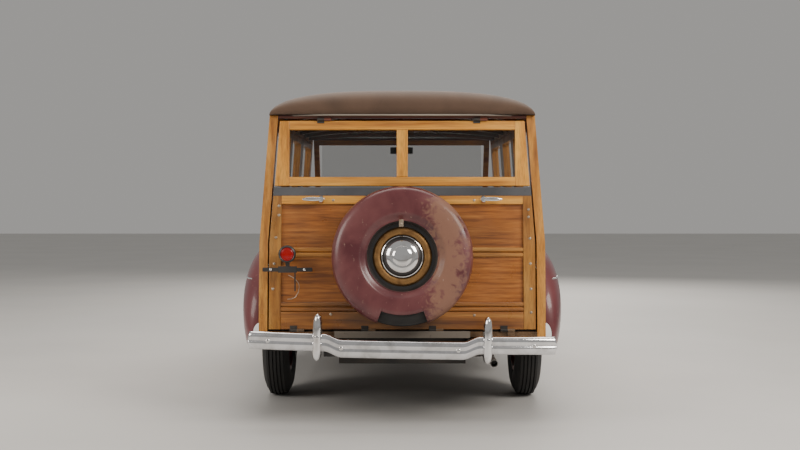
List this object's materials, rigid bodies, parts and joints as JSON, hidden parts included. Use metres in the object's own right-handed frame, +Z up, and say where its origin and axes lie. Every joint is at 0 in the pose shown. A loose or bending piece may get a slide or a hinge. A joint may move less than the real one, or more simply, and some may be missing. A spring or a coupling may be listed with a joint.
{
  "type": "wood-bodied station wagon",
  "caption": "Wood-bodied estate car with steel front, fabric roof, hinged doors, hood, liftgate and tailgate, and a covered spare wheel on the tailgate",
  "frame": {"origin": "on the floor under the middle of the overall box", "axes": "+Y to the front of the car, +X to its right side, +Z up"},
  "size_m": [1.7958, 4.78, 1.805],
  "materials": {
    "chassis": "satin black",
    "steel": "worn",
    "floor_wood": "varnished boards",
    "maroon_paint": "faded gloss",
    "wheel_paint": "gloss",
    "wheel_gold": "weathered",
    "glass": "clear",
    "chrome": "polished, worn",
    "rubber": "ribbed",
    "ash": "varnished",
    "mahogany": "varnished",
    "roof_fabric": "coated canvas",
    "leather": "worn",
    "dark_plastic": "polished",
    "tyre": "worn",
    "cap_steel": "satin",
    "lamp_red": "glossy lens"
  },
  "bodies": {
    "car": {"chassis_frame": "chassis", "front_axle": "chassis", "rear_axle": "chassis", "engine_block": "steel", "exhaust_pipe": "steel", "fuel_tank": "chassis", "body_floor": "floor_wood", "cowl": "maroon_paint", "windshield_frame": "maroon_paint", "windshield_glass": "glass", "front_clip": "maroon_paint", "front_fenders": "maroon_paint", "headlamps": "chrome", "rear_fenders": "maroon_paint", "running_boards": "rubber", "left_body_side": "ash", "right_body_side": "ash", "quarter_glass": "glass", "roof_bows": "mahogany", "roof_cover": "roof_fabric", "front_seat": "leather", "middle_seat": "leather", "rear_seat": "leather", "seat_frames": "chassis", "steering_column": "chassis", "front_bumper": "chrome", "rear_bumper": "chrome"},
    "left_knuckle": {"left_knuckle": "chassis"},
    "right_knuckle": {"right_knuckle": "chassis"},
    "front_left_wheel": {"front_left_wheel": "wheel_paint", "front_left_tyre": "tyre"},
    "front_right_wheel": {"front_right_wheel": "wheel_paint", "front_right_tyre": "tyre"},
    "rear_left_wheel": {"rear_left_wheel": "wheel_paint", "rear_left_tyre": "tyre"},
    "rear_right_wheel": {"rear_right_wheel": "wheel_paint", "rear_right_tyre": "tyre"},
    "front_left_door": {"front_left_door": "ash", "front_left_glass": "glass"},
    "front_right_door": {"front_right_door": "ash", "front_right_glass": "glass"},
    "rear_left_door": {"rear_left_door": "ash", "rear_left_glass": "glass"},
    "rear_right_door": {"rear_right_door": "ash", "rear_right_glass": "glass"},
    "liftgate": {"liftgate": "ash", "liftgate_glass": "glass"},
    "tailgate": {"tailgate": "mahogany", "tailgate_cap": "cap_steel", "tailgate_latches": "chrome", "tail_lamp": "lamp_red"},
    "spare": {"spare_carrier": "chassis", "spare_wheel": "wheel_gold", "spare_tyre": "tyre", "spare_cover": "maroon_paint"},
    "hood": {"hood": "maroon_paint"},
    "steering_wheel": {"steering_wheel": "dark_plastic"}
  },
  "joints": [
    {"name": "steer_left", "type": "hinge", "parent": "car", "child": "left_knuckle", "pos_m": [-0.598, 1.685, 0.362], "axis": [0, 0, 1], "range_deg": [-28, 28]},
    {"name": "front_left_wheel_spin", "type": "hinge", "parent": "left_knuckle", "child": "front_left_wheel", "pos_m": [-0.708, 1.685, 0.362], "axis": [1, 0, 0], "continuous": true},
    {"name": "rear_left_wheel_spin", "type": "hinge", "parent": "car", "child": "rear_left_wheel", "pos_m": [-0.74, -1.16, 0.362], "axis": [1, 0, 0], "continuous": true},
    {"name": "front_left_door_swing", "type": "hinge", "parent": "car", "child": "front_left_door", "pos_m": [-0.772, 0.62, 0.64], "axis": [0, 0, -1], "range_deg": [0, 65]},
    {"name": "rear_left_door_swing", "type": "hinge", "parent": "car", "child": "rear_left_door", "pos_m": [-0.772, -0.3, 0.64], "axis": [0, 0, -1], "range_deg": [0, 65]},
    {"name": "steer_right", "type": "hinge", "parent": "car", "child": "right_knuckle", "pos_m": [0.598, 1.685, 0.362], "axis": [0, 0, 1], "range_deg": [-28, 28]},
    {"name": "front_right_wheel_spin", "type": "hinge", "parent": "right_knuckle", "child": "front_right_wheel", "pos_m": [0.708, 1.685, 0.362], "axis": [1, 0, 0], "continuous": true},
    {"name": "rear_right_wheel_spin", "type": "hinge", "parent": "car", "child": "rear_right_wheel", "pos_m": [0.74, -1.16, 0.362], "axis": [1, 0, 0], "continuous": true},
    {"name": "front_right_door_swing", "type": "hinge", "parent": "car", "child": "front_right_door", "pos_m": [0.772, 0.62, 0.64], "axis": [0, 0, 1], "range_deg": [0, 65]},
    {"name": "rear_right_door_swing", "type": "hinge", "parent": "car", "child": "rear_right_door", "pos_m": [0.772, -0.3, 0.64], "axis": [0, 0, 1], "range_deg": [0, 65]},
    {"name": "liftgate_lift", "type": "hinge", "parent": "car", "child": "liftgate", "pos_m": [0, -1.97504, 1.61158], "axis": [-1, 0, 0], "range_deg": [0, 85]},
    {"name": "tailgate_drop", "type": "hinge", "parent": "car", "child": "tailgate", "pos_m": [0, -2.08335, 0.48679], "axis": [1, 0, 0], "range_deg": [0, 70]},
    {"name": "spare_hang", "type": "hinge", "parent": "tailgate", "child": "spare", "pos_m": [0, -2.03432, 1.22549], "axis": [-1, 0, 0], "range_deg": [0, 70]},
    {"name": "hood_lift", "type": "hinge", "parent": "car", "child": "hood", "pos_m": [0, 0.868, 1.212], "axis": [1, 0, 0], "range_deg": [0, 42]},
    {"name": "steering_wheel_turn", "type": "hinge", "parent": "car", "child": "steering_wheel", "pos_m": [-0.34, 0.33, 1.06], "axis": [0, -0.8175, 0.5759], "range_deg": [-504, 504]}
  ],
  "couplings": [
    {"joint": "steer_right", "follows": "steer_left", "ratio": 1},
    {"joint": "steering_wheel_turn", "follows": "steer_left", "ratio": 18},
    {"joint": "spare_hang", "follows": "tailgate_drop", "ratio": 1}
  ]
}
